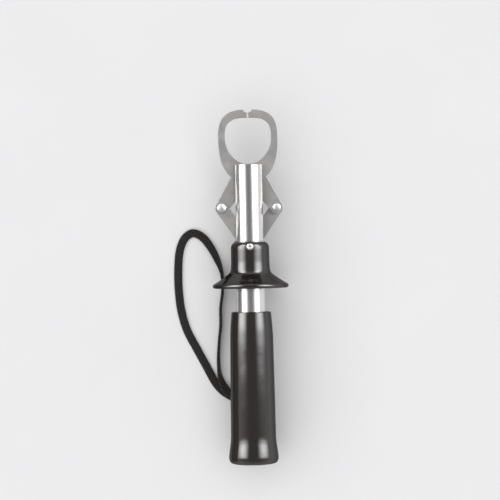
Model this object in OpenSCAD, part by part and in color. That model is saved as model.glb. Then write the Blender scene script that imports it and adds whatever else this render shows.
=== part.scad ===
// Lip grip: a hand tool that holds a fish by its lower jaw.
// Pulling the sprung collar towards the handle opens two hooked jaws; letting go closes them.
// The tool lies on its side on z = 0: +Y runs from the butt to the jaws and +Z is the front.
// A "station" is a distance along the tool from the butt of the handle.

/* [Handle] */
// Length of the handle
handle_len = 96; // [92:1:98]
// Diameter of the grip at its top edge
grip_top_d = 25.2; // [24.6:0.2:27]
// Diameter of the grip at its waist
grip_waist_d = 28.2; // [27.6:0.2:30]
// Diameter of the grip at the flare near the butt
grip_flare_d = 31.4; // [30.6:0.2:33]

/* [Tube] */
// Outer diameter of the main tube
tube_d = 18.2; // [18:0.1:18.6]
// Wall of the main tube
tube_wall = 1; // [0.8:0.1:1.2]
// Station of the tube's open top
tube_top = 189; // [188.6:0.2:190]

/* [Collar] */
// Station of the flange's underside with the jaws closed
collar_base = 111; // [110:0.5:112]
// Diameter of the collar's flange
flange_d = 48; // [46:1:50]
// Diameter of the collar's body
collar_d = 24.2; // [24:0.2:25]
// How far the collar slides towards the handle
collar_travel = 7; // [5:0.5:7]

/* [Jaws] */
// Station of the pivot that both jaws share
pivot_station = 181.6; // [181:0.2:182]
// Thickness of each jaw plate
jaw_t = 3.2; // [3:0.1:3.4]
// Outer width of the ring that the closed jaws form
ring_w = 38.2; // [37:0.2:39]
// Width of the opening in that ring
ring_open_w = 28.4; // [27.6:0.2:29]
// Station of the top of the closed ring
ring_top = 224; // [223:0.5:225]

/* [Linkage] */
// Distance of each corner rivet from the tool's axis
rivet_x = 17.5; // [17.5:0.1:18.2]
// Station of the corner rivets with the jaws closed
rivet_station = 161.7; // [161:0.1:162.4]
// Station of the collar's cross pin with the jaws closed
pin_station = 137; // [136.5:0.1:137.5]
// Thickness of each link
link_t = 1.5; // [1.3:0.1:1.6]

/* [Lanyard] */
// Width of the flat lanyard
strap_w = 5.3; // [4.8:0.1:5.6]
// Thickness of the flat lanyard
strap_t = 1.9; // [1.6:0.1:2]

/* [Hidden] */
$fn = 64;

steel = "silver";
satin_steel = "darkgray";
black_coat = "#3c3430";

axis_z = flange_d / 2;
tube_r = tube_d / 2;
bore_r = tube_r - tube_wall;
run = 0.05;        // running clearance of what turns or slides
slack = 0.02;      // half the gap between the two lapped hubs
hub_gap = 0.2;     // round each hub
slot_play = 0.15;  // on each side of what moves in the tube's slots

// The stack across the tool, measured from the jaws' middle plane
jaw_z = jaw_t / 2;
link_z = jaw_z + run;
washer_z = link_z + link_t + slack;
washer_t = 0.35;
side_slot_w = 2 * (link_z + link_t + slot_play);
side_slot_base = 133;

// Pins and rivets
pivot_r = 2;
pin_r = 1.5;
rivet_r = 1.5;
rivet_play = 0.4;
rivet_head_r = 3.1;
rivet_head_h = 1.5;
rivet_tail_h = 1.1;
washer_r = rivet_head_r + 0.2;
dome_r = (rivet_head_r * rivet_head_r + rivet_head_h * rivet_head_h) / (2 * rivet_head_h);
spacer_r = 4;
spacer_end = 7;    // how far the pivot's sleeves reach from the jaws' middle plane

// Handle
core_r = 11;
core_end = handle_len - 1;
butt_t = 3;        // thickness of the end plug's flange
plug_r = 8.6;
plug_shank = 6;
seat_pin_station = 92;
handle_pin_station = 32;
hole_station = 16; // of the lanyard's hole, in the back of the handle
hole_r = 3.6;
grommet_r = 4.5;
grommet_lip_r = 5.4;
grommet_seat = 14.2;
grommet_lip_t = 0.7;
grommet_inner = 6.9;
knot_r = 5.6;
knot_base = 4.5;

// Collar
bush_wall = 0.75;
bush_r = tube_r + run + bush_wall;
bush_top = collar_base + 29.8;
collar_core_r = bush_r + 1.1;
flange_core_r = flange_d / 2 - 1.4;

// Jaws: ring centres and the steepness of their rounded outlines
ring_mid = 205;
ring_low = 27.4;   // from the ring's centre down to where its outline would close
open_mid = 206.5;
open_top = ring_top - 5.2;
open_low = 17;
hub_r = 7.4;
tail_r = 4;
tail_root = [6.4, pivot_station - 3.4]; // the disc that each tail grows from
tail_root_r = 5.9;
link_pin_r = 4.6;
link_spacer_r = 3.4;
tip_gap = 0.3;
tail_clear_angle = 73; // the tails keep to their own side of this line when the jaws are open

// The lanyard's route: x, station, height above the surface, and how far the strap is turned
// from lying flat (0) to standing on its edge (90)
strap_exit_heading = [0.4, 0.92];
strap_route = [
    [-0.4, 15.1, 19.5, 0], [-0.4, 15.1, 16, 0], [-0.4, 15.1, 12, 0], [-0.3, 15.3, 7, 0], [0.6, 17.2, 3.4, 0],
    [2, 20.2, 1.4, 0], [3, 25, 1, 0], [2, 30, 1, 0], [-1.2, 34.2, 1, 0],
    [-7, 37.6, 1, 0], [-13.4, 40.8, 1, 0], [-19.4, 44.8, 1, 0],
    [-24.4, 51, 1, 0], [-29.6, 61, 1, 0], [-35.4, 72, 1, 0], [-41.4, 84, 1, 0],
    [-45, 97, 1, 0], [-46.4, 111, 1, 0], [-46.4, 124, 1, 0], [-45.2, 135.4, 1, 0],
    [-41.8, 143.4, 1, 0], [-36.4, 146.6, 1.05, 0], [-30.4, 143.8, 1.5, 10], [-25.4, 137.4, 2.1, 25],
    [-21.2, 129, 2.75, 50], [-18.4, 120, 2.85, 80], [-18.2, 109, 2.8, 90], [-19.6, 98, 2.8, 90],
    [-19.8, 87, 2.8, 90], [-21, 76, 2.8, 90], [-21.6, 66, 2.8, 85], [-21.2, 57, 2.9, 75],
    [-19.6, 50.4, 3.1, 45], [-15.6, 43.6, 3.5, 8], [-9.5, 39, 3.1, 0], [-3.2, 35.9, 3, 0],
    [1, 32, 3, 0], [3, 26.6, 3.1, 0], [2.5, 21.8, 3.6, 0], [1.3, 18.7, 5.4, 0],
    [0.5, 17.3, 8.5, 0], [0.4, 16.9, 12.5, 0], [0.4, 16.9, 16, 0], [0.4, 16.9, 19.5, 0],
];

// ---- Placing -------------------------------------------------------------------------------

// Turned parts are drawn upright, radius by station, and laid along +Y
module along_tool(station = 0) {
    translate([0, station - ring_top / 2, axis_z]) rotate([-90, 0, 0]) children();
}

// Flat parts are drawn in x and station, and raised from the jaws' middle plane
module in_plane(z, t) {
    translate([0, -ring_top / 2, axis_z + z]) linear_extrude(t) children();
}

// Pins that run from front to back
module across(x, station, z, length, r) {
    translate([x, station - ring_top / 2, axis_z + z]) cylinder(h = length, r = r);
}

// Pins that run from left to right, centred on the axis
module sideways(station, length, r) {
    translate([0, station - ring_top / 2, axis_z]) rotate([0, 90, 0])
        cylinder(h = length, r = r, center = true);
}

module mirrored(left) {
    if (left) mirror([1, 0, 0]) children();
    else children();
}

// ---- Curves --------------------------------------------------------------------------------

function at(p, i) = p[max(0, min(len(p) - 1, i))];

function catmull(p, i, t) = 0.5 * (2 * at(p, i) + (at(p, i + 1) - at(p, i - 1)) * t
    + (2 * at(p, i - 1) - 5 * at(p, i) + 4 * at(p, i + 1) - at(p, i + 2)) * t * t
    + (3 * at(p, i) - at(p, i - 1) - 3 * at(p, i + 1) + at(p, i + 2)) * t * t * t);

// A smooth line through points, with n steps from each point to the next
function smooth(p, n) = [
    for (i = [0:len(p) - 2], k = [0:n - 1]) catmull(p, i, k / n),
    p[len(p) - 1]
];

// One point of an oval whose upper and lower halves have their own heights and squareness
function oval_point(a, half_w, up, low, n_up, n_low) = let (
    n = sin(a) >= 0 ? n_up : n_low,
    h = sin(a) >= 0 ? up : low
) [
    half_w * sign(cos(a)) * pow(abs(cos(a)), 2 / n),
    h * sign(sin(a)) * pow(abs(sin(a)), 2 / n)
];

module oval(half_w, up, low, n_up, n_low) {
    polygon([for (a = [0:4:356]) oval_point(a, half_w, up, low, n_up, n_low)]);
}

// The four-sided outline between two discs, whose long edges touch both
module bar_edges(a, ra, b, rb) {
    d = norm(b - a);
    u = (b - a) / d;
    v = [-u.y, u.x];
    c = (ra - rb) / d;
    s = sqrt(1 - c * c);
    polygon([
        a + ra * (c * u + s * v), b + rb * (c * u + s * v),
        b + rb * (c * u - s * v), a + ra * (c * u - s * v)
    ]);
}

function unit(v) = v / norm(v);

// A tube through rings of points, closed at both ends
module swept(rings) {
    n = len(rings[0]);
    last = len(rings) - 1;
    polyhedron(
        points = [for (r = rings) each r],
        faces = [
            [for (k = [0:n - 1]) k],
            for (i = [0:last - 1], k = [0:n - 1]) [
                i * n + k, (i + 1) * n + k, (i + 1) * n + (k + 1) % n
            ],
            for (i = [0:last - 1], k = [0:n - 1]) [
                i * n + k, (i + 1) * n + (k + 1) % n, i * n + (k + 1) % n
            ],
            [for (k = [n - 1:-1:0]) last * n + k]
        ]
    );
}

// ---- Tube and handle -----------------------------------------------------------------------

module main_tube() {
    color(steel) difference() {
        along_tool() rotate_extrude() translate([bore_r, butt_t])
            square([tube_wall, tube_top - butt_t]);
        // open side slots for the jaws and links
        translate([-tube_d, side_slot_base - ring_top / 2, axis_z - side_slot_w / 2])
            cube([2 * tube_d, tube_top, side_slot_w]);
        // front and back slots for the collar's cross pin
        across_slot(pin_r + slot_play, pin_station - collar_travel, pin_station);
        across(0, pivot_station, -tube_d, 2 * tube_d, pivot_r);
        sideways(seat_pin_station, 2 * tube_d, pin_r);
        sideways(handle_pin_station, 2 * tube_d, pin_r);
        across(0, hole_station, -tube_d, tube_d, grommet_r);
    }
}

module across_slot(r, from, to) {
    across(0, from, -tube_d, 2 * tube_d, r);
    across(0, to, -tube_d, 2 * tube_d, r);
    translate([-r, from - ring_top / 2, axis_z - tube_d]) cube([2 * r, to - from, 2 * tube_d]);
}

module handle_core() {
    color("dimgray") difference() {
        along_tool() rotate_extrude() translate([tube_r, butt_t])
            square([core_r - tube_r, core_end - butt_t]);
        sideways(seat_pin_station, 2 * tube_d, pin_r);
        sideways(handle_pin_station, 2 * tube_d, pin_r);
        across(0, hole_station, -tube_d, tube_d, grommet_r);
    }
}

// Half outline of the grip, from the top edge to the butt
grip_outline = smooth([
    [grip_top_d / 2 - 1, handle_len], [grip_top_d / 2 - 0.25, handle_len - 0.4],
    [grip_top_d / 2, handle_len - 1.6], [grip_top_d / 2 + 0.9, handle_len - 14],
    [grip_waist_d / 2 - 0.3, handle_len - 34], [grip_waist_d / 2, 38],
    [grip_waist_d / 2 + 0.1, 24], [grip_flare_d / 2 - 1.3, 15], [grip_flare_d / 2 - 0.4, 8],
    [grip_flare_d / 2, 4], [grip_flare_d / 2 - 0.35, 2], [grip_flare_d / 2 - 1.3, 0.6],
    [grip_flare_d / 2 - 3.2, 0]
], 3);

module grip_sleeve() {
    color(black_coat) difference() {
        along_tool() rotate_extrude() polygon(concat(
            grip_outline,
            [[plug_r, 0], [plug_r, butt_t], [core_r, butt_t], [core_r, core_end]],
            [[tube_r, core_end], [tube_r, handle_len]]
        ));
        across(0, hole_station, -tube_d, tube_d, grommet_r);
        across(0, hole_station, -tube_d, tube_d - grommet_seat, grommet_lip_r);
    }
}

module end_plug() {
    color(satin_steel) along_tool() {
        cylinder(h = butt_t, r = plug_r);
        translate([0, 0, butt_t]) cylinder(h = plug_shank, r = bore_r);
    }
}

// Cross pins through the tube and the core, flush with the core
module core_pin(station) {
    color(steel) intersection() {
        sideways(station, 3 * tube_d, pin_r);
        along_tool() cylinder(h = handle_len, r = core_r);
    }
}

module lanyard_grommet() {
    color(satin_steel) difference() {
        union() {
            across(0, hole_station, -grommet_seat, grommet_seat - grommet_inner, grommet_r);
            across(0, hole_station, -grommet_seat - grommet_lip_t, grommet_lip_t, grommet_lip_r);
        }
        across(0, hole_station, -tube_d, tube_d, hole_r);
    }
}

// ---- Spring and plunger --------------------------------------------------------------------

seat_t = 2;
spring_base = seat_pin_station + pin_r + seat_t;
plunger_base = pin_station - 13;
plunger_h = 17;
boss_r = 4.5;
boss_h = 3;
wire_r = 0.7;
coil_r = 6.4;
coil_turns = 7.5;
coil_steps = 20;

module spring_seat() {
    color(steel) along_tool(spring_base - seat_t) {
        cylinder(h = seat_t, r = bore_r);
        translate([0, 0, seat_t]) cylinder(h = boss_h, r = boss_r);
    }
}

function coil_point(a, z) = [coil_r * cos(a), coil_r * sin(a), z];

module spring() {
    low = spring_base + wire_r + run;
    high = plunger_base - wire_r - run;
    steps = coil_turns * coil_steps;
    color(steel) along_tool() swept([for (i = [0:steps]) let (
        a = 360 * i / coil_steps,
        c = coil_point(a, low + (high - low) * i / steps)
    ) [for (k = [0:45:315]) c + wire_r * (cos(k) * [cos(a), sin(a), 0] + sin(k) * [0, 0, 1])]]);
}

module plunger() {
    fork_base = pin_station - link_pin_r - 0.5;
    color(satin_steel) difference() {
        along_tool(plunger_base) {
            cylinder(h = plunger_h, r = bore_r - run);
            translate([0, 0, -boss_h]) cylinder(h = boss_h, r = boss_r);
        }
        translate([-tube_d, fork_base - ring_top / 2, axis_z - side_slot_w / 2])
            cube([2 * tube_d, tube_d, side_slot_w]);
        across(0, pin_station, -tube_d, 2 * tube_d, pin_r);
    }
}

// ---- Collar --------------------------------------------------------------------------------

module collar_bush() {
    color("gray") difference() {
        along_tool() rotate_extrude() translate([tube_r + run, collar_base])
            square([bush_wall, bush_top - collar_base]);
        across(0, pin_station, -tube_d, 2 * tube_d, pin_r);
    }
}

core_base = collar_base + 1.1;
core_top = collar_base + 27.4;

// The stiff bell under the soft coating
collar_core_outline = [
    [bush_r, core_base], [flange_core_r, core_base], [flange_core_r, core_base + 1],
    [flange_core_r - 4, core_base + 2.2], [collar_core_r + 2, core_base + 6],
    [collar_core_r, core_base + 12], [collar_core_r, core_top], [bush_r, core_top]
];

module collar_core() {
    color("dimgray") difference() {
        along_tool() rotate_extrude() polygon(collar_core_outline);
        across(0, pin_station, -tube_d, 2 * tube_d, pin_r);
    }
}

// Half outline of the dipped coating, from the underside round the rim to the top
collar_outline = smooth([
    [flange_d / 2 - 1.5, collar_base], [flange_d / 2 - 0.35, collar_base + 0.35],
    [flange_d / 2, collar_base + 1.3], [flange_d / 2 - 0.25, collar_base + 2.3],
    [flange_d / 2 - 1.3, collar_base + 3.1], [flange_d / 2 - 3.4, collar_base + 4.3],
    [flange_d / 2 - 6.2, collar_base + 6.2], [flange_d / 2 - 9.2, collar_base + 8.3],
    [collar_d / 2 + 1.1, collar_base + 9.8], [collar_d / 2 + 0.35, collar_base + 12],
    [collar_d / 2 + 0.05, collar_base + 16], [collar_d / 2, collar_base + 21],
    [collar_d / 2 - 0.05, collar_base + 25.8],
    [collar_d / 2 - 0.35, collar_base + 27.1], [collar_d / 2 - 0.95, collar_base + 28],
    [bush_r + 0.5, collar_base + 28.7], [bush_r, collar_base + 29]
], 3);

module collar_skin() {
    color(black_coat) difference() {
        along_tool() rotate_extrude() difference() {
            polygon(concat([[bush_r, collar_base]], collar_outline));
            polygon(collar_core_outline);
        }
        across(0, pin_station, -tube_d, 2 * tube_d, pin_r);
        pin_heads();
    }
}

pin_head_r = 2.2;
pin_head_base = collar_d / 2 - 0.9;
pin_head_h = 1.2;

module pin_heads() {
    across(0, pin_station, pin_head_base, pin_head_h, pin_head_r);
    across(0, pin_station, -pin_head_base - pin_head_h, pin_head_h, pin_head_r);
}

module collar_pin() {
    color(steel) {
        across(0, pin_station, -pin_head_base, 2 * pin_head_base, pin_r);
        pin_heads();
    }
}

module link_spacer() {
    color(satin_steel) difference() {
        across(0, pin_station, -jaw_z, jaw_t, link_spacer_r);
        across(0, pin_station, -tube_d, 2 * tube_d, pin_r);
    }
}

// ---- Links and jaws ------------------------------------------------------------------------

// Each link runs from the cross pin to its corner rivet: the left one in front, the right behind
module link(left) {
    z = left ? link_z : -link_z - link_t;
    color(satin_steel) mirrored(left) difference() {
        union() {
            across(0, pin_station, z, link_t, link_pin_r);
            across(rivet_x, rivet_station, z, link_t, tail_r);
            in_plane(z, link_t)
                bar_edges([0, pin_station], link_pin_r, [rivet_x, rivet_station], tail_r);
        }
        across(0, pin_station, -tube_d, 2 * tube_d, pin_r + run);
        across(rivet_x, rivet_station, -tube_d, 2 * tube_d, rivet_r + rivet_play);
    }
}

// Outline of the right jaw: half the ring, and the tail that reaches its rivet
module jaw_outline() {
    difference() {
        union() {
            difference() {
                translate([0, ring_mid])
                    oval(ring_w / 2, ring_top - ring_mid, ring_low, 2.9, 2.3);
                translate([0, open_mid])
                    oval(ring_open_w / 2, open_top - open_mid, open_low, 3.2, 2);
                translate([-ring_w, 0]) square([ring_w + tip_gap / 2, ring_top + 1]);
                translate([-ring_w, 0]) square([2 * ring_w, pivot_station - 2]);
                translate([0, ring_top]) rotate(-62) square([4, 4], center = true);
            }
            translate(tail_root) circle(tail_root_r);
            translate([rivet_x, rivet_station]) circle(tail_r);
            bar_edges(tail_root, tail_root_r, [rivet_x, rivet_station], tail_r);
        }
        // what would swing across to the other jaw's side
        translate([0, pivot_station]) rotate(-tail_clear_angle)
            translate([-ring_w, -2 * ring_w]) square([3 * ring_w, 2 * ring_w]);
        translate([-ring_w, pivot_station - 1]) square([ring_w + tip_gap / 2, 12]);
    }
}

// The hubs are lapped: each jaw is cut to half its thickness where the other one's hub turns
module jaw(left) {
    own = left ? slack : -jaw_z;
    other = left ? -jaw_z : -slack;
    color(satin_steel) mirrored(left) difference() {
        union() {
            in_plane(own, jaw_z - slack) {
                jaw_outline();
                translate([0, pivot_station]) circle(hub_r);
            }
            in_plane(other, jaw_z + slack) difference() {
                jaw_outline();
                translate([0, pivot_station]) circle(hub_r + hub_gap);
            }
        }
        across(0, pivot_station, -tube_d, 2 * tube_d, pivot_r + run);
        across(rivet_x, rivet_station, -tube_d, 2 * tube_d, rivet_r);
    }
}

// A shank with a domed head outside the link and a flat head on the jaw's free side
module rivet(left) {
    head_z = washer_z + washer_t;
    color(steel) mirrored(left) translate([rivet_x, rivet_station - ring_top / 2, axis_z])
        mirror([0, 0, left ? 0 : 1]) {
            translate([0, 0, -jaw_z]) cylinder(h = jaw_z + head_z, r = rivet_r);
            translate([0, 0, -jaw_z - rivet_tail_h])
                cylinder(h = rivet_tail_h, r1 = rivet_r + 0.7, r2 = rivet_r + 1.2);
            translate([0, 0, head_z]) rotate_extrude() intersection() {
                translate([0, rivet_head_h - dome_r]) circle(dome_r);
                square([rivet_head_r, rivet_head_h]);
            }
        }
}

module rivet_washer(left) {
    z = left ? washer_z : -washer_z - washer_t;
    color(steel) mirrored(left) difference() {
        across(rivet_x, rivet_station, z, washer_t, washer_r);
        across(rivet_x, rivet_station, -tube_d, 2 * tube_d, rivet_r);
    }
}

// The shared pivot, ground flush with the tube
module jaw_pivot_pin() {
    color(steel) intersection() {
        across(0, pivot_station, -tube_d, 2 * tube_d, pivot_r);
        along_tool() cylinder(h = ring_top, r = tube_r);
    }
}

// Sleeves that keep the jaws in the middle of the tube
module pivot_spacers() {
    color(satin_steel) for (side = [0, 1]) difference() {
        translate([0, 0, 2 * side * axis_z]) mirror([0, 0, side])
            across(0, pivot_station, jaw_z + run, spacer_end - jaw_z - run, spacer_r);
        across(0, pivot_station, -tube_d, 2 * tube_d, pivot_r);
    }
}

// ---- Lanyard -------------------------------------------------------------------------------

strap_line = smooth(strap_route, 2);

function strap_point(i) = let (p = at(strap_line, i)) [p.x, p.y - ring_top / 2, p.z];

// Where the strap is heading, looked at from above
function heading(i) = let (v = strap_point(i + 1) - strap_point(i - 1), h = [v.x, v.y])
    norm(h) < 0.8 ? strap_exit_heading * (i < len(strap_line) / 2 ? 1 : -1) : h;

function strap_ring(i) = let (
    t = unit(strap_point(min(i + 1, len(strap_line) - 1)) - strap_point(max(i - 1, 0))),
    h = unit(heading(i)),
    side = [h.y, -h.x, 0],
    face = cross(side, t),
    roll = at(strap_line, i)[3],
    w = cos(roll) * side + sin(roll) * face,
    b = cross(t, w),
    section = [[1, 0.5], [0.8, 1], [-0.8, 1], [-1, 0.5], [-1, -0.5], [-0.8, -1], [0.8, -1], [1, -0.5]]
) [for (s = section) strap_point(i) + s.x * strap_w / 2 * w + s.y * strap_t / 2 * b];

module lanyard() {
    color("#2e2926") swept([for (i = [0:len(strap_line) - 1]) strap_ring(i)]);
}

// The knot that the strap's two ends are tied in, inside the tube
module lanyard_knot() {
    color("#2e2926") difference() {
        translate([0, hole_station - ring_top / 2, axis_z]) sphere(r = knot_r);
        across(0, hole_station, -tube_d, tube_d - knot_base, tube_d);
    }
}

// ---- Assembly ------------------------------------------------------------------------------

main_tube();
handle_core();
grip_sleeve();
end_plug();
core_pin(seat_pin_station);  // seat_pin
core_pin(handle_pin_station);  // handle_pin
spring_seat();
spring();
jaw_pivot_pin();
pivot_spacers();
lanyard_grommet();
lanyard_knot();
lanyard();
collar_bush();
collar_core();
collar_skin();
collar_pin();
plunger();
link_spacer();
link(true);  // link_left
link(false);  // link_right
jaw(true);  // jaw_left
jaw(false);  // jaw_right
rivet(true);  // rivet_left
rivet(false);  // rivet_right
rivet_washer(true);  // rivet_washer_left
rivet_washer(false);  // rivet_washer_right
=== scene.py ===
"""A lip grip lying on its back, seen from straight above: its looks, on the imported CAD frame.

Lengths in this script are millimetres, as in the part's source, until place() or MM turns them into metres.
A "station" is a distance along the tool from the butt of its handle. +Y runs from the butt to the jaws, and
+Z is the tool's front.
"""

import math

import bmesh
import bpy
from mathutils import Matrix, Vector, noise


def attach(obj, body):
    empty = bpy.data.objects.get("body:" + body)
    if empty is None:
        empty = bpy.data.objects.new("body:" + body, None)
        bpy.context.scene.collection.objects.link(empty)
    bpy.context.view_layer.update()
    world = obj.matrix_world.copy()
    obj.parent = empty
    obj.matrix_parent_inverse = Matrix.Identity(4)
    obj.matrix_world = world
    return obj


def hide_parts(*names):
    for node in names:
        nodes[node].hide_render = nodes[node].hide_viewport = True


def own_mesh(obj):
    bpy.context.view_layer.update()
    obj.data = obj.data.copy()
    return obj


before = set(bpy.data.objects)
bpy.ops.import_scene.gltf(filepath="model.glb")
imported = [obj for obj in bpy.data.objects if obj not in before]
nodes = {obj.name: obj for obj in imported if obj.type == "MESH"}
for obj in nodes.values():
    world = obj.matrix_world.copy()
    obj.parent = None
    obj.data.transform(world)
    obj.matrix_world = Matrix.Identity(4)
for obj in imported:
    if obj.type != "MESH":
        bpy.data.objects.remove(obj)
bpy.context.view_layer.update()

MM = 0.001
LENGTH = 224
AXIS = 24  # height of the tool's axis above the surface


def place(x, station, z):
    return Vector((x, station - LENGTH / 2, z)) * MM


# ---- Camera ------------------------------------------------------------------------------------

VIEW_STATION = 135.1
VIEW_WIDTH = 316.5
VIEW_HEIGHT = 1300
VIEW_ROLL = 1.09  # degrees: the jaws lean a little to the left

camera = bpy.data.objects.new("camera", bpy.data.cameras.new("camera"))
camera.data.lens = camera.data.sensor_width * VIEW_HEIGHT / VIEW_WIDTH
camera.location = place(0, VIEW_STATION, AXIS + VIEW_HEIGHT)
camera.rotation_euler = (0, 0, math.radians(-VIEW_ROLL))
bpy.context.scene.collection.objects.link(camera)
bpy.context.scene.camera = camera


# ---- Curves ------------------------------------------------------------------------------------


def smooth(points, steps):
    """A smooth line through the points, with that many steps from each point to the next."""

    def at(i):
        return points[max(0, min(len(points) - 1, i))]

    line = []
    for i in range(len(points) - 1):
        for k in range(steps):
            t = k / steps
            near = (at(i - 1), at(i), at(i + 1), at(i + 2))
            line.append(
                tuple(
                    0.5
                    * (
                        2 * b
                        + (c - a) * t
                        + (2 * a - 5 * b + 4 * c - d) * t * t
                        + (3 * b - a - 3 * c + d) * t**3
                    )
                    for a, b, c, d in zip(*near)
                )
            )
    return line + [tuple(points[-1])]


def new_piece(name, verts, faces):
    mesh = bpy.data.meshes.new(name)
    mesh.from_pydata(verts, [], faces)
    piece = bpy.data.objects.new(name, mesh)
    bpy.context.scene.collection.objects.link(piece)
    return piece


# ---- Lanyard -----------------------------------------------------------------------------------

STRAP_W = 5.3
STRAP_T = 1.9
STRAP_EXIT_HEADING = Vector((0.4, 0.92))
STRAP_STEPS = 24
STRAP_INSET = 0.985  # keeps the strap's surface just inside the CAD strap, loops included
EDGE_LOOP = 1.3  # length of one loop of the braid's edge
EDGE_LOOP_SHARE = 0.022  # how far the loops stand out, as a share of the strap's width
STEEP_LENGTH = 0.8  # a stretch that moves sideways by less than this runs straight up or down
FLAT_SHARE = 0.3  # a step that moves sideways by more than this share has a heading of its own

# x, station, height above the surface, and the turn from lying flat (0) to standing on edge (90)
STRAP_ROUTE = [
    [-0.4, 15.1, 19.5, 0], [-0.4, 15.1, 16, 0], [-0.4, 15.1, 12, 0], [-0.3, 15.3, 7, 0],
    [0.6, 17.2, 3.4, 0], [2, 20.2, 1.4, 0], [3, 25, 1, 0], [2, 30, 1, 0],
    [-1.2, 34.2, 1, 0], [-7, 37.6, 1, 0], [-13.4, 40.8, 1, 0], [-19.4, 44.8, 1, 0],
    [-24.4, 51, 1, 0], [-29.6, 61, 1, 0], [-35.4, 72, 1, 0], [-41.4, 84, 1, 0],
    [-45, 97, 1, 0], [-46.4, 111, 1, 0], [-46.4, 124, 1, 0], [-45.2, 135.4, 1, 0],
    [-41.8, 143.4, 1, 0], [-36.4, 146.6, 1.05, 0], [-30.4, 143.8, 1.5, 10], [-25.4, 137.4, 2.1, 25],
    [-21.2, 129, 2.75, 50], [-18.4, 120, 2.85, 80], [-18.2, 109, 2.8, 90], [-19.6, 98, 2.8, 90],
    [-19.8, 87, 2.8, 90], [-21, 76, 2.8, 90], [-21.6, 66, 2.8, 85], [-21.2, 57, 2.9, 75],
    [-19.6, 50.4, 3.1, 45], [-15.6, 43.6, 3.5, 8], [-9.5, 39, 3.1, 0], [-3.2, 35.9, 3, 0],
    [1, 32, 3, 0], [3, 26.6, 3.1, 0], [2.5, 21.8, 3.6, 0], [1.3, 18.7, 5.4, 0],
    [0.5, 17.3, 8.5, 0], [0.4, 16.9, 12.5, 0], [0.4, 16.9, 16, 0], [0.4, 16.9, 19.5, 0],
]  # fmt: skip


def strap_section(corners=20, side_power=0.45, face_power=0.7):
    """Outline of the strap: a flat oval, so that its edges are round and its faces nearly flat."""
    section = []
    for k in range(corners):
        a = 2 * math.pi * k / corners
        c, s = math.cos(a), math.sin(a)
        x = math.copysign(abs(c) ** side_power, c)
        y = math.copysign(abs(s) ** face_power, s)
        section.append((x, y))
    return section


def make_lanyard():
    line = smooth(STRAP_ROUTE, STRAP_STEPS)
    section = strap_section()
    corners = len(section)
    verts, faces, along = [], [], [0.0]
    centres = [place(*p[:3]) for p in line]
    for a, b in zip(centres, centres[1:]):
        along.append(along[-1] + (b - a).length)
    last = len(line) - 1
    for i, p in enumerate(line):
        before, after = centres[max(i - 1, 0)], centres[min(i + 1, last)]
        tangent = (after - before).normalized()
        flat = Vector((after.x - before.x, after.y - before.y))
        # where the strap runs straight up or down it keeps the heading that it leaves in
        near = centres[min(i + STRAP_STEPS // 2, last)] - centres[max(i - STRAP_STEPS // 2, 0)]
        heading = Vector((near.x, near.y))
        if heading.length < STEEP_LENGTH * MM:
            heading = STRAP_EXIT_HEADING * (1 if i < last / 2 else -1)
        elif flat.length > FLAT_SHARE * (after - before).length:
            heading = flat
        heading.normalize()
        side = Vector((heading.y, -heading.x, 0))
        face = side.cross(tangent).normalized()
        roll = math.radians(p[3])
        across = (math.cos(roll) * side + math.sin(roll) * face).normalized()
        up = tangent.cross(across)
        # the braid's edge is a row of small loops
        loops = 1 + EDGE_LOOP_SHARE * math.sin(2 * math.pi * along[i] / (EDGE_LOOP * MM))
        for x, y in section:
            offset = x * STRAP_W / 2 * loops * across + y * STRAP_T / 2 * up
            verts.append(centres[i] + offset * STRAP_INSET * MM)
    for i in range(last):
        for k in range(corners):
            m = (k + 1) % corners
            here, there = i * corners, (i + 1) * corners
            faces.append((here + k, here + m, there + m, there + k))
    faces.append(tuple(range(corners))[::-1])
    faces.append(tuple(last * corners + k for k in range(corners)))
    piece = new_piece("lanyard_strap", verts, faces)
    layer = piece.data.uv_layers.new(name="weave")
    for polygon in piece.data.polygons:
        polygon.use_smooth = True
        for loop in polygon.loop_indices:
            ring, corner = divmod(piece.data.loops[loop].vertex_index, corners)
            layer.data[loop].uv = (section[corner][0] * STRAP_W / 2, along[ring] / MM)
    return piece, centres, along[-1]


lanyard, strap_line, strap_length = make_lanyard()
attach(lanyard, "body")
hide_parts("lanyard")


# ---- Materials ---------------------------------------------------------------------------------


WAVE_A_YARN = 0.5 * math.pi / 10  # the wave texture's scale that gives one wave every two units


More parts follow.
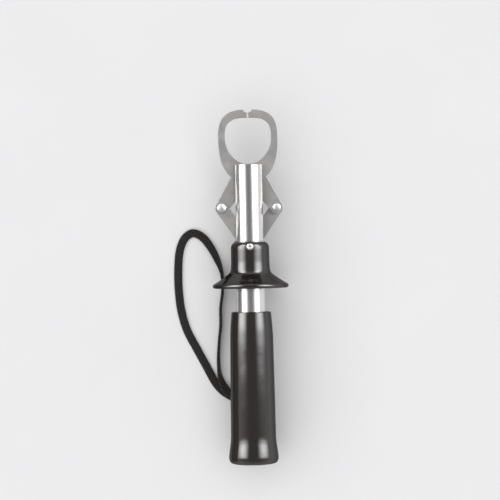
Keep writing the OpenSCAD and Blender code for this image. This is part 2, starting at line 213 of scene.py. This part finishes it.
class Shader:
    """A Principled material whose inputs are set by name, with helpers for the nodes that feed it."""

    def __init__(self, name, **inputs):
        self.material = bpy.data.materials.new(name)
        self.material.use_nodes = True
        self.tree = self.material.node_tree
        self.surface = self.tree.nodes["Principled BSDF"]
        for key, value in inputs.items():
            self.surface.inputs[key.replace("_", " ")].default_value = value

    def node(self, kind, **settings):
        node = self.tree.nodes.new(kind)
        for key, value in settings.items():
            setattr(node, key, value)
        return node

    def join(self, source, target):
        self.tree.links.new(source, target)

    def coordinates(self, scale):
        """Object coordinates, stretched by scale, which is a number or one number an axis."""
        source = self.node("ShaderNodeTexCoord")
        mapping = self.node("ShaderNodeMapping")
        if isinstance(scale, (int, float)):
            scale = (scale, scale, scale)
        mapping.inputs["Scale"].default_value = scale
        self.join(source.outputs["Object"], mapping.inputs["Vector"])
        return mapping.outputs["Vector"]

    def speckle(self, scale, detail=3.0, roughness=0.55):
        texture = self.node("ShaderNodeTexNoise")
        texture.inputs["Scale"].default_value = 1
        texture.inputs["Detail"].default_value = detail
        texture.inputs["Roughness"].default_value = roughness
        self.join(self.coordinates(scale), texture.inputs["Vector"])
        return texture.outputs["Fac"]

    def spread(self, value, low, high, source_low=0.3, source_high=0.7):
        """Maps a value that varies between the source limits onto low to high."""
        remap = self.node("ShaderNodeMapRange")
        remap.inputs["From Min"].default_value = source_low
        remap.inputs["From Max"].default_value = source_high
        remap.inputs["To Min"].default_value = low
        remap.inputs["To Max"].default_value = high
        self.join(value, remap.inputs["Value"])
        return remap.outputs["Result"]

    def tint(self, value, dark, light):
        mix = self.node("ShaderNodeMix", data_type="RGBA")
        mix.inputs["A"].default_value = (*dark, 1)
        mix.inputs["B"].default_value = (*light, 1)
        self.join(value, mix.inputs["Factor"])
        self.join(mix.outputs["Result"], self.surface.inputs["Base Color"])

    def vary(self, name, value):
        self.join(value, self.surface.inputs[name])

    def relief(self, height, depth, under=None):
        """Adds a bump of that depth in millimetres, on top of the bump that is given as under."""
        bump = self.node("ShaderNodeBump")
        bump.inputs["Distance"].default_value = depth * MM
        bump.inputs["Strength"].default_value = 1
        self.join(height, bump.inputs["Height"])
        if under:
            self.join(under, bump.inputs["Normal"])
        self.join(bump.outputs["Normal"], self.surface.inputs["Normal"])
        return bump.outputs["Normal"]


def polished_steel(name, roughness=0.24):
    """Mirror-polished stainless with the faint lengthwise lines that the buffing wheel leaves."""
    shader = Shader(name, Metallic=1.0)
    lines = shader.speckle((9000, 110, 9000), 4)
    clouds = shader.speckle(90, 4)
    shader.tint(shader.spread(clouds, 0, 1), (0.74, 0.74, 0.735), (0.80, 0.80, 0.80))
    shader.vary("Roughness", shader.spread(lines, roughness - 0.02, roughness + 0.04))
    shader.relief(lines, 0.0006)
    return shader.material


def satin_steel(name, dark=(0.60, 0.59, 0.575), light=(0.70, 0.69, 0.675)):
    """Tumbled stainless plate: an even satin with a fine grain and slightly uneven tone."""
    shader = Shader(name, Metallic=1.0)
    grain = shader.speckle(5200, 2)
    clouds = shader.speckle(170, 5, 0.6)
    shader.tint(shader.spread(clouds, 0, 1), dark, light)
    shader.vary("Roughness", shader.spread(clouds, 0.44, 0.52))
    shader.relief(grain, 0.004)
    return shader.material


def spring_steel(name):
    shader = Shader(name, Metallic=1.0)
    marks = shader.speckle(2400, 3)
    shader.tint(shader.spread(marks, 0, 1), (0.36, 0.35, 0.34), (0.50, 0.49, 0.47))
    shader.vary("Roughness", shader.spread(marks, 0.24, 0.36))
    shader.relief(marks, 0.003)
    return shader.material


def dipped_vinyl(name):
    """Thick dark coating with a wet gloss, soft ripples and a little dust."""
    shader = Shader(name, Coat_IOR=1.92, Specular_IOR_Level=0.0, Roughness=0.5)
    dust = shader.speckle(1500, 5, 0.7)
    shader.tint(shader.spread(dust, 0, 1, 0.35, 0.75), (0.010, 0.007, 0.005), (0.018, 0.013, 0.010))
    shader.vary("Coat Roughness", shader.spread(dust, 0.08, 0.15))
    ripples = shader.relief(shader.speckle(240, 2), 0.02)
    surface_relief = shader.relief(shader.speckle(1300, 2), 0.0022, under=ripples)
    shader.join(surface_relief, shader.surface.inputs["Coat Normal"])
    facing = shader.node("ShaderNodeLayerWeight").outputs["Facing"]
    shader.vary("Coat Weight", shader.spread(facing, 1.0, 0.3, 0.2, 0.6))
    return shader.material


def moulded_plastic(name):
    shader = Shader(name, Roughness=0.5)
    grain = shader.speckle(2600, 3)
    shader.tint(shader.spread(grain, 0, 1), (0.016, 0.016, 0.017), (0.028, 0.028, 0.030))
    shader.vary("Roughness", shader.spread(grain, 0.42, 0.58))
    shader.relief(grain, 0.006)
    return shader.material


def braided_strap(name, yarn=0.9, stretch=0.72):
    """A flat braid: two sets of slanting yarns that pass over and under each other.

    The yarn is a yarn's width in millimetres, and the stretch makes the braid's diamonds longer than wide.
    """
    shader = Shader(name, Roughness=0.85, Sheen_Weight=0.08, Sheen_Roughness=0.5)
    uv = shader.node("ShaderNodeUVMap", uv_map="weave")
    turned_uv = shader.node("ShaderNodeMapping", vector_type="POINT")
    turned_uv.inputs["Rotation"].default_value = (0, 0, math.radians(45))
    turned_uv.inputs["Scale"].default_value = (1 / yarn, stretch / yarn, 1)
    shader.join(uv.outputs["UV"], turned_uv.inputs["Vector"])
    over = shader.node("ShaderNodeTexChecker")
    over.inputs["Scale"].default_value = 1
    shader.join(turned_uv.outputs["Vector"], over.inputs["Vector"])
    bands = []
    for direction in ("X", "Y"):
        wave = shader.node("ShaderNodeTexWave", wave_type="BANDS", bands_direction=direction)
        wave.inputs["Scale"].default_value = WAVE_A_YARN
        wave.inputs["Distortion"].default_value = 0
        shader.join(turned_uv.outputs["Vector"], wave.inputs["Vector"])
        bands.append(wave.outputs["Fac"])
    braid = shader.node("ShaderNodeMix", data_type="FLOAT")
    shader.join(over.outputs["Fac"], braid.inputs["Factor"])
    shader.join(bands[0], braid.inputs["A"])
    shader.join(bands[1], braid.inputs["B"])
    fibres = shader.speckle(3000, 3, 0.7)
    height = shader.spread(braid.outputs["Result"], 0, 1, 0, 1)
    # painted shade: the yarns' colour goes darker where they dip under one another, down in the braid's
    # grooves
    shader.tint(height, (0.0035, 0.0028, 0.0024), (0.023, 0.019, 0.0165))
    under = shader.relief(fibres, 0.02)
    shader.relief(braid.outputs["Result"], 0.11, under)
    return shader.material


MIRROR = polished_steel("polished_steel")
BRIGHT = polished_steel("bright_steel", 0.22)
TUMBLED = polished_steel("tumbled_steel", 0.4)
SATIN = satin_steel("satin_steel")
SPRING = spring_steel("spring_steel")
VINYL = dipped_vinyl("dipped_vinyl")
MOULDED = moulded_plastic("moulded_plastic")
BRAID = braided_strap("braided_strap")

lanyard.data.materials.append(BRAID)


# ---- Making pieces -----------------------------------------------------------------------------


def finish_piece(piece, body, slot, material, *replaced):
    piece.data.materials.clear()
    piece.data.materials.append(material)
    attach(piece, body)
    if replaced:
        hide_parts(*replaced)


WELD = 0.001  # points nearer than this are one point
SAME_PLANE = 0.4  # degrees between faces that are merged into one before the edges are rounded
HARD_EDGE = 38  # degrees between the faces of an edge that is rounded


def shade(piece, angle=35):
    """Smooth shading, with creases where faces meet at more than the angle."""
    piece.data.shade_smooth()
    piece.data.set_sharp_from_angle(angle=math.radians(angle))


def bevelled(node, name, width, segments=3, clamp=True):
    """A copy of a CAD node with its hard edges rounded to that width in millimetres."""
    mesh = nodes[node].data.copy()
    mesh.name = name
    work = bmesh.new()
    work.from_mesh(mesh)
    bmesh.ops.remove_doubles(work, verts=work.verts, dist=WELD * MM)
    bmesh.ops.dissolve_limit(
        work, angle_limit=math.radians(SAME_PLANE), verts=work.verts, edges=work.edges
    )
    limit = math.radians(HARD_EDGE)
    hard = [e for e in work.edges if len(e.link_faces) == 2 and e.calc_face_angle() > limit]
    bmesh.ops.bevel(
        work,
        geom=hard,
        offset=width * MM,
        segments=segments,
        profile=0.5,
        affect="EDGES",
        clamp_overlap=clamp,
    )
    work.to_mesh(mesh)
    work.free()
    piece = bpy.data.objects.new(name, mesh)
    bpy.context.scene.collection.objects.link(piece)
    shade(piece)
    keep_flat(piece)
    return piece


def keep_flat(piece, crease=55):
    """Weighs each corner's normal by face area, so that large faces stay flat and only bevels curve."""
    mesh = piece.data
    around = {}
    for polygon in mesh.polygons:
        for vertex in polygon.vertices:
            around.setdefault(vertex, []).append(polygon)
    limit = math.cos(math.radians(crease))
    normals = []
    for polygon in mesh.polygons:
        for vertex in polygon.vertices:
            near = [f for f in around[vertex] if f.normal.dot(polygon.normal) > limit]
            total = sum((f.normal * f.area for f in near), Vector())
            normals.append(tuple(total.normalized()))
    mesh.normals_split_custom_set(normals)


def true_round(piece, *radii, tolerance=0.03, least_facing=0.9):
    """Gives the faces that lie on cylinders about the tool's axis their true normals.

    A corner counts when it is within the tolerance of a radius and its face looks at the axis or away.
    """
    mesh = piece.data
    normals = [tuple(c.vector) for c in mesh.corner_normals]
    for polygon in mesh.polygons:
        for loop in polygon.loop_indices:
            p = mesh.vertices[mesh.loops[loop].vertex_index].co / MM
            away = Vector((p.x, 0, p.z - AXIS))
            facing = polygon.normal.dot(away.normalized())
            on_cylinder = any(abs(away.length - r) < tolerance for r in radii)
            if on_cylinder and abs(facing) > least_facing:
                normals[loop] = tuple(away.normalized() * math.copysign(1, facing))
    mesh.normals_split_custom_set(normals)


RIPPLE = 0.03  # how far the dipped coatings swell and sink
RIPPLE_SIZE = 9


def turned(name, loop, matrix, segments=224, ripple=0.0):
    """Revolves a closed loop of (radius, height) about the matrix's Z, which is in millimetres."""
    verts, faces = [], []
    count = len(loop)
    for k in range(segments):
        a = 2 * math.pi * k / segments
        for radius, height in loop:
            p = Vector((radius * math.cos(a), radius * math.sin(a), height))
            if ripple:
                p += Vector((p.x, p.y, 0)).normalized() * ripple * noise.noise(p / RIPPLE_SIZE)
            verts.append((matrix @ p) * MM)
    for k in range(segments):
        here, there = k * count, (k + 1) % segments * count
        for i in range(count):
            j = (i + 1) % count
            faces.append((here + i, there + i, there + j, here + j))
    piece = new_piece(name, verts, faces)
    work = bmesh.new()
    work.from_mesh(piece.data)
    bmesh.ops.remove_doubles(work, verts=work.verts, dist=WELD / 2 * MM)
    bmesh.ops.recalc_face_normals(work, faces=work.faces)
    work.to_mesh(piece.data)
    work.free()
    shade(piece, 40)
    return piece


ALONG = Matrix.Translation((0, -LENGTH / 2, AXIS)) @ Matrix.Rotation(math.radians(-90), 4, "X")


def upright(x, station, z=AXIS, flip=False):
    """A place for a pin that runs from front to back."""
    turn = Matrix.Rotation(math.pi, 4, "X") if flip else Matrix.Identity(4)
    return Matrix.Translation((x, station - LENGTH / 2, z)) @ turn


def rod(x, station, z_low, z_high, radius):
    """A plain cylinder from front to back, used only to cut holes with."""
    loop = [(0, z_low), (radius, z_low), (radius, z_high), (0, z_high)]
    return turned("cutter", loop, upright(x, station, 0), segments=96)


def cut(piece, *cutters):
    for cutter in cutters:
        modifier = piece.modifiers.new("cut", "BOOLEAN")
        modifier.operation = "DIFFERENCE"
        modifier.solver = "EXACT"
        modifier.object = cutter
    bpy.context.view_layer.update()
    result = piece.evaluated_get(bpy.context.evaluated_depsgraph_get())
    made = bpy.data.meshes.new_from_object(result)
    piece.modifiers.clear()
    piece.data = made
    for cutter in cutters:
        bpy.data.objects.remove(cutter)
    shade(piece, 40)


# ---- Handle ------------------------------------------------------------------------------------

HANDLE = 96
GRIP_TOP = 25.2
GRIP_WAIST = 28.2
GRIP_FLARE = 31.4
GRIP_END = 3  # thickness of the coating over the core's lower end
GRIP_NECK = 1  # and over its upper end
CORE_R = 11
PLUG_R = 8.6
TUBE_R = 9.1
BORE_R = 8.1
HOLE_STATION = 16
HOLE_END = 5  # the lanyard's hole ends this far from the axis
GROMMET_R = 4.5
GROMMET_LIP_R = 5.4
GROMMET_SEAT = 14.2  # the grommet's lip sits this far from the axis

GRIP_OUTLINE = smooth(
    [
        (GRIP_TOP / 2 - 1, HANDLE), (GRIP_TOP / 2 - 0.25, HANDLE - 0.4), (GRIP_TOP / 2, HANDLE - 1.6),
        (GRIP_TOP / 2 + 0.9, HANDLE - 14), (GRIP_WAIST / 2 - 0.3, HANDLE - 34), (GRIP_WAIST / 2, 38),
        (GRIP_WAIST / 2 + 0.1, 24), (GRIP_FLARE / 2 - 1.3, 15), (GRIP_FLARE / 2 - 0.4, 8),
        (GRIP_FLARE / 2, 4), (GRIP_FLARE / 2 - 0.35, 2), (GRIP_FLARE / 2 - 1.3, 0.6),
        (GRIP_FLARE / 2 - 3.2, 0),
    ],
    10,
)  # fmt: skip

GRIP_INSIDE = [
    (PLUG_R, 0), (PLUG_R, GRIP_END), (CORE_R, GRIP_END), (CORE_R, HANDLE - GRIP_NECK),
    (TUBE_R, HANDLE - GRIP_NECK), (TUBE_R, HANDLE),
]  # fmt: skip

grip = turned("grip_coating", GRIP_OUTLINE + GRIP_INSIDE, ALONG, ripple=RIPPLE)
cut(
    grip,
    rod(0, HOLE_STATION, 0, AXIS - HOLE_END, GROMMET_R),
    rod(0, HOLE_STATION, 0, AXIS - GROMMET_SEAT, GROMMET_LIP_R),
)
finish_piece(grip, "body", "coating", VINYL, "grip_sleeve")

for node, width in {"end_plug": 0.4, "lanyard_grommet": 0.3}.items():
    finish_piece(bevelled(node, node + "_turned", width), "body", "satin_steel", SATIN, node)


# ---- Collar ------------------------------------------------------------------------------------

COLLAR_BASE = 111
FLANGE_R = 24
COLLAR_R = 12.1
BUSH_R = 9.9
PIN_STATION = 137
PIN_R = 1.5
PIN_HEAD_R = 2.2
PIN_HEAD_BASE = COLLAR_R - 0.9
PIN_HEAD_TOP = PIN_HEAD_BASE + 1.2
DIMPLE_R = 0.8

COLLAR_OUTLINE = smooth(
    [
        (FLANGE_R - 1.5, 0), (FLANGE_R - 0.35, 0.35), (FLANGE_R, 1.3), (FLANGE_R - 0.25, 2.3),
        (FLANGE_R - 1.3, 3.1), (FLANGE_R - 3.4, 4.3), (FLANGE_R - 6.2, 6.2), (FLANGE_R - 9.2, 8.3),
        (COLLAR_R + 1.1, 9.8), (COLLAR_R + 0.35, 12), (COLLAR_R + 0.05, 16), (COLLAR_R, 21),
        (COLLAR_R - 0.05, 25.8), (COLLAR_R - 0.35, 27.1), (COLLAR_R - 0.95, 28), (BUSH_R + 0.5, 28.7),
        (BUSH_R, 29),
    ],
    10,
)  # fmt: skip

COLLAR_LOOP = [(r, COLLAR_BASE + h) for r, h in [(BUSH_R, 0)] + COLLAR_OUTLINE]
collar = turned("collar_coating", COLLAR_LOOP, ALONG, ripple=RIPPLE)
cut(collar, rod(0, PIN_STATION, -1, 2 * AXIS + 1, PIN_HEAD_R))
finish_piece(collar, "collar", "coating", VINYL, "collar_skin")

bush = bevelled("collar_bush", "collar_lip", 0.25)
finish_piece(bush, "collar", "satin_steel", SPRING, "collar_bush")

# from the head's rim to a shallow dimple in its middle
PIN_HEAD = smooth(
    [
        (PIN_HEAD_R, PIN_HEAD_TOP - 0.7), (PIN_HEAD_R - 0.15, PIN_HEAD_TOP - 0.35),
        (PIN_HEAD_R - 0.6, PIN_HEAD_TOP - 0.05), (PIN_HEAD_R - 1.05, PIN_HEAD_TOP),
        (DIMPLE_R, PIN_HEAD_TOP - 0.1), (DIMPLE_R - 0.2, PIN_HEAD_TOP - 0.14), (0, PIN_HEAD_TOP - 0.14),
    ],
    5,
)  # fmt: skip
PIN_FRONT = [(PIN_R, 0), (PIN_R, PIN_HEAD_BASE), (PIN_HEAD_R, PIN_HEAD_BASE)] + PIN_HEAD
PIN_BACK = [(r, -z) for r, z in reversed(PIN_FRONT)]
pin = turned("collar_pin_turned", PIN_FRONT + PIN_BACK, upright(0, PIN_STATION), segments=72)
finish_piece(pin, "collar", "bright_steel", TUMBLED, "collar_pin")


# ---- Tube, jaws and links ----------------------------------------------------------------------

tube = bevelled("main_tube", "tube_polished", 0.12, segments=2)
true_round(tube, TUBE_R, BORE_R)
finish_piece(tube, "body", "tube", MIRROR, "main_tube")

pivot = bevelled("jaw_pivot_pin", "pivot_ground", 0.02, segments=1)
true_round(pivot, TUBE_R)
finish_piece(pivot, "body", "bright_steel", MIRROR, "jaw_pivot_pin")

RIVET_X = 17.5
RIVET_STATION = 161.7
RIVET_R = 1.5
RIVET_HEAD_R = 3.1
RIVET_HEAD_H = 1.5
RIVET_BASE = 3.52  # of the domed head, from the jaws' middle plane
RIVET_TAIL = 1.6  # of the peened head, on the other side
RIVET_TAIL_R = 2.7
RIVET_TAIL_H = 1.1
RIVET_RIM = 0.1  # the heads' small chamfer underneath
RIVET_DOME_RISE = 0.12  # from the head's underside to where its dome starts


def rivet_outline():
    """A domed head, a shank, and a lower peened head on the far side."""
    quarter = [math.radians(k) for k in range(0, 91, 5)]
    head_low, head_h = RIVET_BASE + RIVET_DOME_RISE, RIVET_HEAD_H - RIVET_DOME_RISE
    tail_low, tail_h = RIVET_TAIL + RIVET_RIM, RIVET_TAIL_H - RIVET_RIM
    dome = [(RIVET_HEAD_R * math.cos(a), head_low + head_h * math.sin(a)) for a in quarter]
    tail = [(RIVET_TAIL_R * math.sin(a), -tail_low - tail_h * math.cos(a)) for a in quarter]
    shank = [
        (RIVET_TAIL_R - RIVET_RIM, -RIVET_TAIL),
        (RIVET_R, -RIVET_TAIL),
        (RIVET_R, RIVET_BASE),
        (RIVET_HEAD_R - RIVET_RIM, RIVET_BASE),
    ]
    return tail + shank + dome


rivets = []
for side in ("left", "right"):
    jaw = bevelled("jaw_" + side, "jaw_plate_" + side, 0.42, segments=4, clamp=False)
    finish_piece(jaw, side + "_jaw", "satin_steel", SATIN, "jaw_" + side)
    link = bevelled("link_" + side, "link_plate_" + side, 0.3, clamp=False)
    finish_piece(link, side + "_link", "satin_steel", SATIN, "link_" + side)
    washer = bevelled("rivet_washer_" + side, "rivet_ring_" + side, 0.1, segments=2)
    finish_piece(washer, side + "_jaw", "bright_steel", BRIGHT, "rivet_washer_" + side)
    sign = -1 if side == "left" else 1
    where = upright(sign * RIVET_X, RIVET_STATION, flip=side == "right")
    rivet = turned("rivet_dome_" + side, rivet_outline(), where, segments=96)
    finish_piece(rivet, side + "_jaw", "bright_steel", TUMBLED, "rivet_" + side)
    rivets.append(rivet)


# ---- Spring ------------------------------------------------------------------------------------

SPRING_LOW = 95.5
SPRING_HIGH = 124
WIRE_R = 0.7
COIL_R = 6.4
COIL_TURNS = 7.5
COIL_GAP = 0.05  # between the spring and what it stands on


def make_spring(steps=48, corners=14):
    verts, faces = [], []
    count = int(COIL_TURNS * steps)
    low, high = SPRING_LOW + WIRE_R + COIL_GAP, SPRING_HIGH - WIRE_R - COIL_GAP
    for i in range(count + 1):
        a = 2 * math.pi * i / steps
        out = Vector((math.cos(a), math.sin(a), 0))
        centre = out * COIL_R + Vector((0, 0, low + (high - low) * i / count))
        for k in range(corners):
            b = 2 * math.pi * k / corners
            round_wire = WIRE_R * (math.cos(b) * out + Vector((0, 0, math.sin(b))))
            verts.append((ALONG @ (centre + round_wire)) * MM)
    for i in range(count):
        for k in range(corners):
            m = (k + 1) % corners
            here, there = i * corners, (i + 1) * corners
            faces.append((here + k, there + k, there + m, here + m))
    faces.append(tuple(range(corners)))
    faces.append(tuple(count * corners + k for k in range(corners))[::-1])
    return new_piece("spring_coil", verts, faces)


spring = make_spring()
shade(spring, 60)
finish_piece(spring, "body", "spring_steel", SPRING, "spring")
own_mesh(spring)


# ---- CAD nodes that keep their shape -----------------------------------------------------------

KEPT = {
    "handle_core": MOULDED,
    "collar_core": MOULDED,
    "seat_pin": SPRING,
    "handle_pin": SPRING,
    "spring_seat": SATIN,
    "plunger": SATIN,
    "pivot_spacers": SATIN,
    "link_spacer": SATIN,
    "lanyard_knot": BRAID,
}
for node, material in KEPT.items():
    nodes[node].data.materials.clear()
    nodes[node].data.materials.append(material)


# ---- Floor, world and lights -------------------------------------------------------------------

FLOOR_HALF = 6000
floor_corners = [(-FLOOR_HALF, -FLOOR_HALF), (FLOOR_HALF, -FLOOR_HALF)]
floor_corners += [(FLOOR_HALF, FLOOR_HALF), (-FLOOR_HALF, FLOOR_HALF)]
floor = new_piece("floor", [Vector((x, y, 0)) * MM for x, y in floor_corners], [(0, 1, 2, 3)])
paper = Shader("paper", Roughness=0.9)
paper.tint(paper.spread(paper.speckle(14, 3), 0, 1), (0.77, 0.77, 0.775), (0.79, 0.79, 0.795))
floor.data.materials.append(paper.material)

world = bpy.data.worlds.new("studio")
bpy.context.scene.world = world
world.use_nodes = True
sky = world.node_tree
direction = sky.nodes.new("ShaderNodeTexCoord")
split = sky.nodes.new("ShaderNodeSeparateXYZ")
ramp = sky.nodes.new("ShaderNodeValToRGB")
low_sky, high_sky = ramp.color_ramp.elements
low_sky.position = 0.1
low_sky.color = (0.68, 0.68, 0.69, 1)
high_sky.position = 0.95
high_sky.color = (0.2, 0.2, 0.205, 1)
sky.links.new(direction.outputs["Generated"], split.inputs["Vector"])
sky.links.new(split.outputs["Z"], ramp.inputs["Fac"])
sky.links.new(ramp.outputs["Color"], sky.nodes["Background"].inputs["Color"])

LIGHT_AWAY = 1600
LIFT_FROM, LIFT_TO = 30, 110  # along the tool, from its middle


def softbox(name, tilt, spread, y_low, y_high, radiance, fade, lift=0.0):
    """A panel turned to the tool's axis, tilt degrees from overhead, from y_low to y_high along it.

    Its cloth glows most along its middle and fades to both sides. At the low end the glow comes up over a
    length of fade, and from LIFT_FROM to LIFT_TO it rises by the share lift. It shows only in reflections.
    """
    width = 2 * LIGHT_AWAY * math.tan(math.radians(spread / 2)) * MM
    length = (y_high - y_low) * MM
    data = bpy.data.lights.new(name, "AREA")
    data.shape = "RECTANGLE"
    data.size = width
    data.size_y = length
    data.energy = radiance * width * length * math.pi
    data.use_nodes = True
    tree = data.node_tree
    emission = tree.nodes["Emission"]
    where = tree.nodes.new("ShaderNodeNewGeometry")
    split = tree.nodes.new("ShaderNodeSeparateXYZ")
    tree.links.new(where.outputs["Parametric"], split.inputs["Vector"])

    def math_node(operation, *values):
        node = tree.nodes.new("ShaderNodeMath")
        node.operation = operation
        for socket, value in zip(node.inputs, values):
            if isinstance(value, (int, float)):
                socket.default_value = value
            else:
                tree.links.new(value, socket)
        return node.outputs["Value"]

    def falloff(value, start, stop):
        node = tree.nodes.new("ShaderNodeMapRange")
        node.interpolation_type = "SMOOTHSTEP"
        node.inputs["From Min"].default_value = start
        node.inputs["From Max"].default_value = stop
        tree.links.new(value, node.inputs["Value"])
        return node.outputs["Result"]

    off_centre = math_node("ABSOLUTE", math_node("MULTIPLY_ADD", split.outputs["X"], 2.0, -1.0))
    across = falloff(off_centre, 1.0, 0.0)
    shares = [(y - y_low) / (y_high - y_low) for y in (y_low + fade, LIFT_FROM, LIFT_TO)]
    lifted = math_node("MULTIPLY_ADD", falloff(split.outputs["Y"], *shares[1:]), lift, 1.0)
    along = math_node("MULTIPLY", falloff(split.outputs["Y"], 0.0, shares[0]), lifted)
    tree.links.new(math_node("MULTIPLY", across, along), emission.inputs["Strength"])
    light = bpy.data.objects.new(name, data)
    angle = math.radians(tilt)
    aside, above = LIGHT_AWAY * math.sin(angle), LIGHT_AWAY * math.cos(angle)
    light.location = Vector((aside, (y_low + y_high) / 2, above)) * MM
    light.rotation_euler = (0, angle, 0)
    light.visible_camera = False
    light.visible_diffuse = False
    bpy.context.scene.collection.objects.link(light)
    return light


LEFT = {"tilt": -54, "spread": 66}
RIGHT = {"tilt": 49, "spread": 64}
NEAR = {"y_low": -130, "y_high": 600, "fade": 75}
FAR = {"y_low": 260, "y_high": 2400, "fade": 340, "radiance": 6.2}

softbox("left", radiance=3.1, lift=0.9, **LEFT, **NEAR)
softbox("right", radiance=2.6, lift=1.1, **RIGHT, **NEAR)

# the long panels beyond the jaws light only the coating and the small bright heads
glossy = bpy.data.collections.new("glossy")
for piece in (grip, collar, pin, *rivets):
    glossy.objects.link(piece)
for far in (softbox("left_far", **LEFT, **FAR), softbox("right_far", **RIGHT, **FAR)):
    far.light_linking.receiver_collection = glossy

# a grey card beside the tool darkens the left edges of what shines, as a photographer's flag does
CARD_X = -52
CARD_LOW_Y, CARD_HIGH_Y = -135, 120
CARD_LOW_Z, CARD_HIGH_Z = 1, 42
card_corners = [(CARD_LOW_Y, CARD_LOW_Z), (CARD_HIGH_Y, CARD_LOW_Z)]
card_corners += [(CARD_HIGH_Y, CARD_HIGH_Z), (CARD_LOW_Y, CARD_HIGH_Z)]
flag = new_piece("flag", [Vector((CARD_X, y, z)) * MM for y, z in card_corners], [(0, 1, 2, 3)])
card = Shader("card", Roughness=0.9)
card.tint(card.speckle(60, 3), (0.34, 0.34, 0.34), (0.38, 0.38, 0.38))
flag.data.materials.append(card.material)
flag.visible_camera = False
flag.visible_diffuse = False
flag.visible_shadow = False

# a sun as wide as most of the sky gives the soft shadows, and doesn't show in reflections
dome = bpy.data.objects.new("dome", bpy.data.lights.new("dome", "SUN"))
dome.data.energy = 2.35
dome.data.angle = math.radians(110)
dome.rotation_euler = (math.radians(8), math.radians(-12), 0)
dome.visible_glossy = False
bpy.context.scene.collection.objects.link(dome)

bpy.context.scene.view_settings.view_transform = "Standard"
